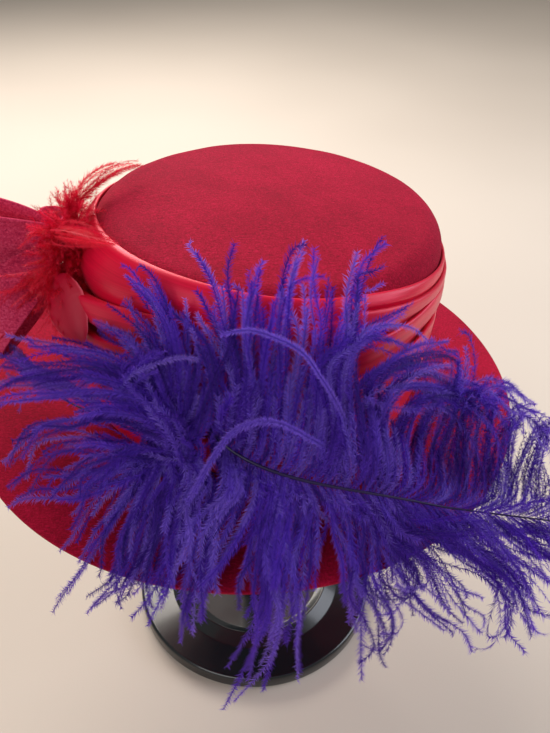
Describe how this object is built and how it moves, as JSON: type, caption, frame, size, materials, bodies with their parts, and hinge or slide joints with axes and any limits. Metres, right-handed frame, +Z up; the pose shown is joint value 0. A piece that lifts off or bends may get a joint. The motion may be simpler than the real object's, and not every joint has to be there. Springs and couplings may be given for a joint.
{
  "type": "feathered wide-brimmed felt dress hat on a stand",
  "caption": "Red wool felt dress hat with a low flat crown, wide brim, draped satin band, felt bow, red feathers and purple ostrich plumes, resting on a plain round black stand",
  "frame": {"origin": "The middle of the stand base's flat underside.", "axes": "+Z is up, away from the surface that the stand rests on. The plumes are at the front, towards -Y, and the bow is at the side towards -X."},
  "size_m": [0.3508, 0.3371, 0.3522],
  "materials": {
    "red_wool_felt": "matte wool felt",
    "bow_wool_felt": "matte wool felt",
    "red_satin": "satin",
    "red_feather": "dyed feather",
    "purple_ostrich_feather": "dyed ostrich feather",
    "black_gloss_plastic": "gloss"
  },
  "bodies": {
    "root": {"crown": "red_wool_felt", "brim": "red_wool_felt", "satin_band": "red_satin", "bow_knot": "bow_wool_felt", "bow_loop_upper": "bow_wool_felt", "bow_loop_lower": "bow_wool_felt", "bow_loop_back": "bow_wool_felt", "red_hackle_tuft": "red_feather", "long_coque_feather": "red_feather", "pointed_feather": "red_feather", "petal_feather": "red_feather", "ostrich_plume_left": "purple_ostrich_feather", "ostrich_plume_right": "purple_ostrich_feather", "stand_base": "black_gloss_plastic", "stand_post": "black_gloss_plastic", "stand_rest": "black_gloss_plastic"}
  },
  "joints": []
}
